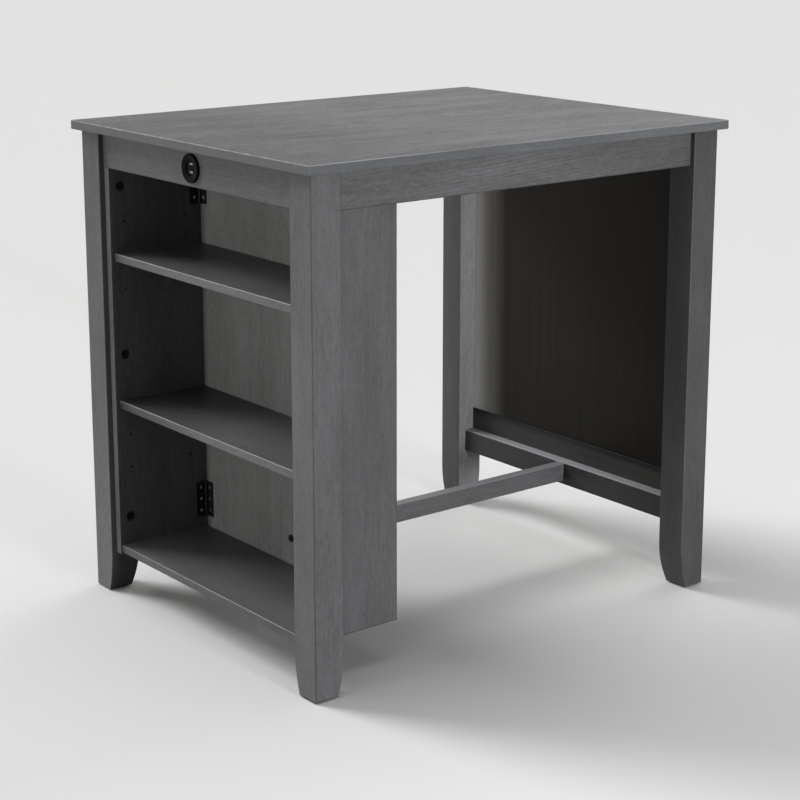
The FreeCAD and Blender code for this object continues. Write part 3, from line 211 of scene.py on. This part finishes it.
# Wood with a gray stain
GRAY_DARK = rgb(90, 90, 90)
GRAY_LIGHT = rgb(129, 129, 130)
# Pale colour of edges and tops: partly wear, partly a painted highlight
GRAY_WEAR_AND_HIGHLIGHT = rgb(188, 189, 192)
GRAY_PORE = rgb(58, 60, 62)
# Painted shade inside holes and bores
GRAY_HOLE_SHADE = rgb(92, 89, 83)
# Painted shade along the edges where boards meet
GRAY_JOINT_SHADE = rgb(38, 39, 40)
# Painted light on the upright rim of a level board
GRAY_RIM_LIGHT = rgb(124, 126, 128)
FACE_DEPTH = 0.002
FACING = 0.5
PORE_START = 0.62
PORE_END = 0.74
PORE_SHARE = 0.4
TONE_SHARES = {CLOUD: 0.30, STREAK: 0.16, DASH: 0.20, MOTTLE: 0.22, FIBRE: 0.12}
TONE_MIDDLE = 0.5
TONE_REACH = 0.16
# Width of the pale edges, partly wear and partly a painted highlight
WEAR_AND_HIGHLIGHT_START = 0.0002
WEAR_AND_HIGHLIGHT_WIDTH = 0.0016
WEAR_AND_HIGHLIGHT_RAGGED = 0.0006
# Width of the painted shade where boards meet
JOINT_SHADE_START = 0.0004
JOINT_SHADE_END = 0.0026
# Depths at which the painted shade inside holes starts and is full
HOLE_SHADE_START = 0.0008
HOLE_SHADE_END = 0.0025
RING_SPACING = 0.006
RING_WANDER = 0.014
RING_RIPPLE = 0.003
RING_SHARPNESS = 3.0
RING_CLOUD_START = 0.35
RING_CLOUD_END = 0.60
PITH_ASIDE = 0.03
PITH_LEANS = (0.04, 0.08)
PITH_DEPTHS = (0.06, 0.10)
GRAIN_SHIFTS = (3.0, 9.0)
FIBRE_HEIGHT_SHARE = 0.6
PORE_HEIGHT_SHARE = -0.5
RING_HEIGHT_SHARE = -0.2
GRAIN_BUMP = 0.0003
GRAIN_BUMP_STRENGTH = 0.5
SHEEN_START = 0.6
SHEEN_END = 1.4
SHEEN_REACH = 0.08

# How a gray board looks: the axis of its grain, how light its stain is, with painted light and shade for
# the whole board, how strongly its growth rings show, how strongly its pale edges show, partly rubbed and
# partly a painted highlight, how rough and glossy it is, the contrast of its grain, the painted light and
# shade towards the two ends of its grain, the painted highlight on its top face, the painted light on its
# rim, the painted shade along its edges where they meet other boards, and the painted light and shade on
# the faces towards the case's open front and towards the near long side
EVEN_SHARES = (1.0, 1.0)
Look = namedtuple(
    "Look",
    "grain stain_share ring_share wear_share roughness specular contrast end_shares "
    "top_share rim_share seam_share face_shares",
    defaults=(0.03, 0.0, 0.54, 0.3, 1.0, EVEN_SHARES, 0.0, 0.0, 0.0, EVEN_SHARES),
)
# The second column makes each board's stain lighter or darker as a whole, which is painted light and shade
GRAY_BOARDS = {
    "tabletop": Look(
        "x", 1.17, ring_share=0.07, wear_share=0.75, roughness=0.72, specular=0.08, contrast=1.6,
        end_shares=(0.78, 1.0), rim_share=0.6,
    ),
    "leg_case_front": Look("z", 0.93, contrast=1.1, end_shares=(1.12, 1.0), seam_share=0.6),
    "leg_case_back": Look(
        "z", 0.81, wear_share=0.15, contrast=1.1, end_shares=(1.30, 0.90), face_shares=(1.0, 0.45),
    ),
    "leg_panel_front": Look("z", 0.63, wear_share=0.20, end_shares=(1.0, 0.80), face_shares=(0.88, 1.0)),
    "leg_panel_back": Look("z", 0.60, wear_share=0.20, end_shares=(0.90, 1.0), face_shares=(1.0, 3.4)),
    "apron_front": Look("x", 0.97, ring_share=0.08, contrast=1.3, end_shares=(1.0, 0.85), seam_share=0.75),
    "apron_back": Look("x", 0.97, ring_share=0.08, contrast=1.3, seam_share=0.75),
    "apron_case_end": Look("y", 0.82, ring_share=0.05, end_shares=(1.08, 0.95), seam_share=0.7),
    "apron_panel_end": Look("y", 0.90, ring_share=0.05, seam_share=0.7),
    "case_side_front": Look("z", 0.88, seam_share=0.6),
    "case_side_back": Look("z", 0.76, face_shares=(1.6, 1.0)),
    "case_back": Look("z", 1.20, seam_share=0.4),
    "case_bottom_shelf": Look(
        "y", 0.78, wear_share=0.35, roughness=0.42, end_shares=(1.0, 1.05), face_shares=(0.86, 1.0),
    ),
    "shelf_middle": Look(
        "y", 0.77, wear_share=0.60, roughness=0.42, end_shares=(0.90, 0.25), face_shares=(1.3, 1.0),
    ),
    "shelf_upper": Look(
        "y", 0.74, wear_share=0.60, roughness=0.42, end_shares=(0.90, 0.75), face_shares=(1.4, 1.0),
    ),
    "end_stretcher": Look("y", 0.27, wear_share=0.60, roughness=0.45, top_share=0.75),
    "middle_stretcher": Look("x", 1.0, wear_share=0.60, roughness=0.45, specular=0.4, top_share=0.30),
}


def board_parts(tree, node, grain):
    """A point's place along the grain and across it, shifted so that no two boards match."""
    chance = random.Random(node)
    parts = tree.split(tree.place())
    along = "xyz".index(grain)
    order = [along] + [index for index in range(3) if index != along]
    middle = (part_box(node)[0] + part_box(node)[1]) / 2
    shifts = [chance.uniform(*GRAIN_SHIFTS) for _ in order]
    shifted = [tree.math("ADD", parts[index], shift) for index, shift in zip(order, shifts)]
    middles = [middle[index] + shift for index, shift in zip(order, shifts)]
    return shifted, middles, chance


def face_depths(tree, node):
    """How far a point lies inside the nearer face of a board along X, Y and Z."""
    low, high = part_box(node)
    offset = tree.vector("SUBTRACT", tree.place(), tuple((low + high) / 2))
    return tree.split(tree.vector("SUBTRACT", tuple((high - low) / 2), tree.vector("ABSOLUTE", offset)))


def two_least(tree, depths):
    """The least and the second least of three depths."""
    less = tree.math("MINIMUM", depths[0], depths[1])
    more = tree.math("MAXIMUM", depths[0], depths[1])
    least = tree.math("MINIMUM", less, depths[2])
    second = tree.math("MAXIMUM", less, tree.math("MINIMUM", more, depths[2]))
    return least, second


def upper_half(tree, node):
    """One on the upper half of a board and nothing below it, since hands rub its upper edges and light from
    above catches them, a painted highlight.
    """
    low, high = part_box(node)
    return tree.math("GREATER_THAN", tree.split(tree.place())[2], (low.z + high.z) / 2)


def top_face(tree, node):
    """One on the top face of a board, and nothing on its other faces."""
    return tree.math("GREATER_THAN", tree.split(tree.place())[2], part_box(node)[1].z - FACE_DEPTH)


def growth_rings(tree, parts, middles, chance):
    """Late wood round the pith of a log that lies askew to the board, which draws arches on flat faces."""
    side = tree.math("SUBTRACT", parts[1], middles[1] + chance.uniform(-PITH_ASIDE, PITH_ASIDE))
    tilt = chance.choice((-1.0, 1.0)) * chance.uniform(*PITH_LEANS)
    lean = tree.math("MULTIPLY", tree.math("SUBTRACT", parts[0], middles[0]), tilt)
    deep = tree.math("SUBTRACT", parts[2], middles[2] + chance.uniform(*PITH_DEPTHS))
    deep = tree.math("ADD", deep, lean)
    squares = [tree.math("MULTIPLY", part, part) for part in (side, deep)]
    radius = tree.math("SQRT", tree.math("ADD", *squares))
    waves = tree.total([(tree.layer(parts, WANDER), RING_WANDER), (tree.layer(parts, RIPPLE), RING_RIPPLE)])
    turns = tree.math("MULTIPLY", tree.math("ADD", radius, waves), 2 * math.pi / RING_SPACING)
    return tree.math("POWER", tree.spread(tree.math("SINE", turns), -1.0, 1.0), RING_SHARPNESS)


def stained_and_lit(color, share):
    """A plain colour made lighter or darker by a share."""
    return [part * share for part in color[:3]] + [1.0]


def painted_end_shading(tree, node, look, color):
    """The stain's colour, with painted light and shade that change slowly from the middle of the board to
    the ends of its grain.
    """
    along = "xyz".index(look.grain)
    low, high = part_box(node)
    middle = (low[along] + high[along]) / 2
    place = tree.split(tree.place())[along]
    low_share = tree.spread(place, low[along], middle, look.end_shares[0], 1.0)
    high_share = tree.spread(place, middle, high[along], 1.0, look.end_shares[1])
    share = tree.math("MULTIPLY", low_share, high_share)
    return tree.shaded(color, share)


def rim(tree, depths):
    """One on the upright faces round a level board, and nothing on its top."""
    return tree.math("LESS_THAN", tree.math("MINIMUM", depths[0], depths[1]), FACE_DEPTH)


def wear_and_painted_light(tree, node, look, color, streak, depths):
    """The colour with pale edges, partly rubbed by use and partly a painted highlight, a painted highlight
    on the top face, painted light on the rim, and painted shade where the board meets others.
    """
    # Painted light on the rim
    if look.rim_share:
        color = tree.mix(tree.math("MULTIPLY", rim(tree, depths), look.rim_share), color, GRAY_RIM_LIGHT)
    # Painted highlight on the top face, standing for its reflection
    if look.top_share:
        color = tree.mix(tree.math("MULTIPLY", top_face(tree, node), look.top_share), color, GRAY_WEAR_AND_HIGHLIGHT)
    _, second = two_least(tree, depths)
    # Pale edges, partly rubbed and partly a painted highlight of the rounded arris
    edge = tree.math("ADD", second, tree.vary(streak, -WEAR_AND_HIGHLIGHT_RAGGED, WEAR_AND_HIGHLIGHT_RAGGED))
    wear_and_highlight = tree.spread(edge, WEAR_AND_HIGHLIGHT_START, WEAR_AND_HIGHLIGHT_WIDTH, 1.0, 0.0, smooth=True)
    if look.grain != "z":
        wear_and_highlight = tree.math("MULTIPLY", wear_and_highlight, upper_half(tree, node))
    color = tree.mix(tree.math("MULTIPLY", wear_and_highlight, look.wear_share), color, GRAY_WEAR_AND_HIGHLIGHT)
    # Painted shade where the board meets others, standing for the shadow in the joint
    if look.seam_share:
        joint_shade = tree.spread(second, JOINT_SHADE_START, JOINT_SHADE_END, look.seam_share, 0.0, smooth=True)
        color = tree.mix(joint_shade, color, GRAY_JOINT_SHADE)
    return color


def painted_face_shading(tree, look, color):
    """The colour with painted light and shade: lighter or darker on the faces towards the case's open front
    and the near long side.
    """
    normal = tree.split(tree.add("ShaderNodeTexCoord").outputs["Normal"])
    for part, face_share in zip(normal, look.face_shares):
        faces_there = tree.math("LESS_THAN", part, -FACING)
        color = tree.shaded(color, tree.spread(faces_there, 0.0, 1.0, 1.0, face_share))
    return color


def gray_wood(node, look):
    """Wire brushed wood under a gray stain, with pale edges that are partly rubbed and partly a painted
    highlight, painted shade inside its holes, and painted light and shade over whole boards, their ends and
    their faces.
    """
    tree = new_tree("gray_wood_" + node)
    parts, middles, chance = board_parts(tree, node, look.grain)
    noises = {layer: tree.layer(parts, layer) for layer in TONE_SHARES}
    streak, fibre = noises[STREAK], noises[FIBRE]
    pore = tree.spread(tree.layer(parts, PORE), PORE_START, PORE_END)
    ring = growth_rings(tree, parts, middles, chance)
    ring = tree.math("MULTIPLY", ring, tree.spread(noises[CLOUD], RING_CLOUD_START, RING_CLOUD_END))

    tone = tree.total([(noises[layer], share) for layer, share in TONE_SHARES.items()])
    tone = tree.math("SUBTRACT", tone, tree.math("MULTIPLY", ring, look.ring_share))
    reach = TONE_REACH / look.contrast
    tone = tree.spread(tone, TONE_MIDDLE - reach, TONE_MIDDLE + reach)
    # The stain, lighter or darker for the whole board as painted light and shade
    color = tree.mix(tone, stained_and_lit(GRAY_DARK, look.stain_share), stained_and_lit(GRAY_LIGHT, look.stain_share))
    # Painted light and shade towards the ends of the board's grain
    if look.end_shares != EVEN_SHARES:
        color = painted_end_shading(tree, node, look, color)
    color = tree.mix(tree.math("MULTIPLY", pore, PORE_SHARE), color, GRAY_PORE)
    # Painted light and shade on the faces towards the case's open front and the near long side
    if look.face_shares != EVEN_SHARES:
        color = painted_face_shading(tree, look, color)
    depths = face_depths(tree, node)
    color = wear_and_painted_light(tree, node, look, color, streak, depths)
    # Painted shade inside holes and bores
    if not node.startswith("leg_"):
        least, _ = two_least(tree, depths)
        color = tree.mix(tree.spread(least, HOLE_SHADE_START, HOLE_SHADE_END, smooth=True), color, GRAY_HOLE_SHADE)

    heights = [(fibre, FIBRE_HEIGHT_SHARE), (pore, PORE_HEIGHT_SHARE), (ring, RING_HEIGHT_SHARE)]
    roughnesses = (look.roughness - SHEEN_REACH, look.roughness + SHEEN_REACH)
    height = tree.total(heights)
    sheen = tree.math("ADD", streak, fibre)
    return tree.surface(
        Base_Color=color,
        Roughness=tree.spread(sheen, SHEEN_START, SHEEN_END, *roughnesses),
        Specular_IOR_Level=look.specular,
        Normal=tree.bump(height, GRAIN_BUMP_STRENGTH, GRAIN_BUMP),
    )


# Thin boards, coloured dark as painted shade
PANEL_DARK = rgb(36, 31, 25)
PANEL_LIGHT = rgb(52, 46, 38)
# Painted light on the panel's inner face next to the rear leg
PANEL_PAINTED_LIGHT = rgb(226, 223, 218)
PANEL_LIT_START = 0.198
PANEL_LIT_END = 0.288
PANEL_LIT_POWER = 2.0
# Painted shade towards the panel's foot
PANEL_FOOT_SHADE_HEIGHT = 0.20
PANEL_FOOT_SHADE_SHARE = 0.4
# Colours of the rail, dark as painted shade
RAIL_DARK = rgb(62, 61, 59)
RAIL_LIGHT = rgb(82, 81, 79)
# Painted shade towards the rail's top
RAIL_SHADE_WIDTH = 0.018
RAIL_SHADE_SHARE = 0.25
DARK_STREAK = Layer(2.5, 60.0, 4.0, 0.6)
DARK_FIBRE = Layer(18.0, 700.0, 2.0, 0.5)
DARK_STREAK_SHARE = 0.7
DARK_FIBRE_SHARE = 0.3
DARK_TONE_START = 0.35
DARK_TONE_END = 0.65
DARK_LESS_ROUGH = 0.05
DARK_MORE_ROUGH = 0.07
DARK_SPECULAR = 0.12
DARK_BUMP = 0.0002
DARK_BUMP_STRENGTH = 0.15


def panel_shade(tree, node, color):
    """A panel's colour, with painted shade towards its foot and painted light on its inner face towards its
    rear upright edge.
    """
    low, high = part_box(node)
    x, y, z = tree.split(tree.place())
    # Painted shade towards the panel's foot
    foot = tree.spread(z, low.z, low.z + PANEL_FOOT_SHADE_HEIGHT, PANEL_FOOT_SHADE_SHARE, 1.0)
    color = tree.shaded(color, foot)
    # Painted light on the inner face towards the rear upright edge
    lit_strip = tree.math("POWER", tree.spread(y, PANEL_LIT_START, PANEL_LIT_END), PANEL_LIT_POWER)
    inner_face = tree.math("LESS_THAN", x, (low.x + high.x) / 2)
    return tree.mix(tree.math("MULTIPLY", lit_strip, inner_face), color, PANEL_PAINTED_LIGHT)


def rail_shade(tree, node, color):
    """A rail's colour, with painted shade towards its top, where the panel shades it."""
    high_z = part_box(node)[1].z
    height = tree.split(tree.place())[2]
    # Painted shade towards the rail's top
    share = tree.spread(height, high_z - RAIL_SHADE_WIDTH, high_z, 1.0, RAIL_SHADE_SHARE)
    return tree.shaded(color, share)


def dark_wood(node, grain, roughness, dark, light, shade):
    """Thin board with a semi gloss finish, coloured dark as painted shade, whose tone changes slowly over
    it.
    """
    tree = new_tree("dark_wood_" + node)
    parts, _, _ = board_parts(tree, node, grain)
    streak = tree.layer(parts, DARK_STREAK)
    fibre = tree.layer(parts, DARK_FIBRE)
    tone = tree.total([(streak, DARK_STREAK_SHARE), (fibre, DARK_FIBRE_SHARE)])
    color = tree.mix(tree.spread(tone, DARK_TONE_START, DARK_TONE_END), dark, light)
    return tree.surface(
        Base_Color=shade(tree, node, color),
        Roughness=tree.vary(streak, roughness - DARK_LESS_ROUGH, roughness + DARK_MORE_ROUGH),
        Specular_IOR_Level=DARK_SPECULAR,
        Normal=tree.bump(fibre, DARK_BUMP_STRENGTH, DARK_BUMP),
    )


# Unfinished wood of the blocks and dowels
PLAIN_DARK = rgb(150, 118, 82)
PLAIN_LIGHT = rgb(196, 166, 124)
PLAIN_STREAK = Layer(6.0, 140.0, 4.0, 0.6)
PLAIN_FIBRE = Layer(30.0, 900.0, 2.0, 0.5)
PLAIN_SMOOTHEST = 0.6
PLAIN_ROUGHEST = 0.8
PLAIN_BUMP = 0.0002
PLAIN_BUMP_STRENGTH = 0.3


def plain_wood():
    """Unfinished pale wood of the blocks and dowels."""
    tree = new_tree("plain_wood")
    x, y, z = tree.split(tree.place())
    streak = tree.layer([z, x, y], PLAIN_STREAK)
    fibre = tree.layer([z, x, y], PLAIN_FIBRE)
    return tree.surface(
        Base_Color=tree.mix(tree.vary(streak), PLAIN_DARK, PLAIN_LIGHT),
        Roughness=tree.vary(fibre, PLAIN_SMOOTHEST, PLAIN_ROUGHEST),
        Normal=tree.bump(fibre, PLAIN_BUMP_STRENGTH, PLAIN_BUMP),
    )


# Metal and plastic, with their noises as repeats in a metre
BLOTCH_SCALE = 180.0
SCRATCH_SCALE = 2200.0
SCRATCH_ROUGHNESS = 0.7
SCRATCH_BUMP = 0.0001
SCRATCH_BUMP_STRENGTH = 0.15
METAL_LESS_ROUGH = 0.06
METAL_MORE_ROUGH = 0.1
GRIT_SCALE = 2600.0
GRIT_BUMP = 0.0001
HAZE_SCALE = 60.0
PLASTIC_LESS_ROUGH = 0.04
PLASTIC_MORE_ROUGH = 0.08


def metal(name, dark, light, metallic, roughness, specular=0.5):
    """Plated or painted metal with fine scratches and slight blotches."""
    tree = new_tree(name)
    place = tree.place()
    blotch = tree.noise(place, scale=BLOTCH_SCALE, detail=3.0)
    scratch = tree.noise(place, scale=SCRATCH_SCALE, detail=2.0, roughness=SCRATCH_ROUGHNESS)
    return tree.surface(
        Base_Color=tree.mix(tree.vary(blotch), dark, light),
        Metallic=metallic,
        Roughness=tree.vary(blotch, roughness - METAL_LESS_ROUGH, roughness + METAL_MORE_ROUGH),
        Specular_IOR_Level=specular,
        Normal=tree.bump(scratch, SCRATCH_BUMP_STRENGTH, SCRATCH_BUMP),
    )


def plastic(name, dark, light, roughness, texture, specular=0.5):
    """Moulded plastic with a fine texture."""
    tree = new_tree(name)
    place = tree.place()
    grit = tree.noise(place, scale=GRIT_SCALE, detail=2.0)
    haze = tree.noise(place, scale=HAZE_SCALE, detail=3.0)
    return tree.surface(
        Base_Color=tree.mix(tree.vary(haze), dark, light),
        Roughness=tree.vary(haze, roughness - PLASTIC_LESS_ROUGH, roughness + PLASTIC_MORE_ROUGH),
        Specular_IOR_Level=specular,
        Normal=tree.bump(grit, texture, GRIT_BUMP),
    )


def dress_nodes():
    """Materials of all the CAD nodes, by what they are made of."""
    finishes = {
        "black_steel": metal("black_steel", rgb(14, 15, 16), rgb(26, 27, 28), 0.0, 0.42, specular=0.25),
        "zinc_steel": metal("zinc_steel", rgb(148, 150, 152), rgb(196, 197, 198), 1.0, 0.36),
        "socket_steel": metal("socket_steel", rgb(70, 72, 76), rgb(96, 98, 102), 1.0, 0.40),
        "black_plastic": plastic(
            "black_plastic", rgb(13, 15, 19), rgb(24, 27, 33), 0.42, 0.25, specular=0.03,
        ),
        "pale_plastic": plastic("pale_plastic", rgb(226, 227, 230), rgb(240, 240, 242), 0.45, 0.10),
        "nylon": plastic("nylon", rgb(34, 34, 35), rgb(48, 48, 49), 0.50, 0.15),
        "plain_wood": plain_wood(),
    }
    for part in frame["record"]["subparts"]:
        if part["material_slot"] in finishes:
            dress(part["node"], finishes[part["material_slot"]])
    dress("hinge_screws", metal("screw_steel", rgb(168, 164, 146), rgb(216, 212, 192), 1.0, 0.34))
    for node, look in GRAY_BOARDS.items():
        dress(node, gray_wood(node, look))
    # The end panel and its rail are coloured dark as painted shade
    dress("end_panel", dark_wood("end_panel", "z", 0.32, PANEL_DARK, PANEL_LIGHT, panel_shade))
    dress("end_panel_rail", dark_wood("end_panel_rail", "y", 0.42, RAIL_DARK, RAIL_LIGHT, rail_shade))


def make_floor():
    """Plain pale floor, which throws little light back."""
    tree = new_tree("floor_paint")
    mesh = bpy.data.meshes.new("floor")
    corners = [(-1, -1), (1, -1), (1, 1), (-1, 1)]
    mesh.from_pydata([(x * STAGE_RADIUS, y * STAGE_RADIUS, 0.0) for x, y in corners], [], [(0, 1, 2, 3)])
    mesh.materials.append(tree.seen_or_felt("ShaderNodeBsdfDiffuse", FLOOR_SEEN, FLOOR_FELT))
    floor = bpy.data.objects.new("floor", mesh)
    bpy.context.scene.collection.objects.link(floor)


def make_world():
    """Weak even light from all round, while the stage looks pale."""
    tree = Tree(bpy.data.worlds.new("studio"), "ShaderNodeOutputWorld")
    bpy.context.scene.world = tree.seen_or_felt("ShaderNodeBackground", SKY_SEEN, SKY_FELT)


def hang_lamp(light, source):
    """Turns a lamp so that it shines from its source to the middle of the frame."""
    holder = bpy.data.objects.new(light.name, light)
    holder.rotation_mode = "QUATERNION"
    holder.rotation_quaternion = Vector(source).to_track_quat("Z", "Y")
    bpy.context.scene.collection.objects.link(holder)
    return holder


def make_lamps():
    """Soft lamps from above and from the sides, and the softbox."""
    for name, lamp in LAMPS.items():
        light = bpy.data.lights.new(name, "SUN")
        light.energy = lamp.strength
        light.angle = math.radians(lamp.angle)
        light.color = lamp.color
        hang_lamp(light, lamp.source)
    light = bpy.data.lights.new("softbox", "AREA")
    light.shape = "RECTANGLE"
    light.size = SOFTBOX_WIDTH
    light.size_y = SOFTBOX_HEIGHT
    light.energy = SOFTBOX_POWER
    light.color = SOFTBOX_COLOR
    hang_lamp(light, SOFTBOX_PLACE).location = SOFTBOX_PLACE


def make_camera():
    """Camera at the photograph's place and angle."""
    data = bpy.data.cameras.new("camera")
    data.lens = CAMERA_LENS
    data.shift_y = CAMERA_SHIFT
    camera = bpy.data.objects.new("camera", data)
    camera.location = CAMERA_PLACE
    camera.rotation_euler = (math.radians(90 + CAMERA_TILT), 0.0, math.radians(CAMERA_TURN - 90))
    bpy.context.scene.collection.objects.link(camera)
    bpy.context.scene.camera = camera


dress_nodes()
make_floor()
make_world()
make_lamps()
make_camera()
bpy.context.scene.view_settings.view_transform = "Standard"
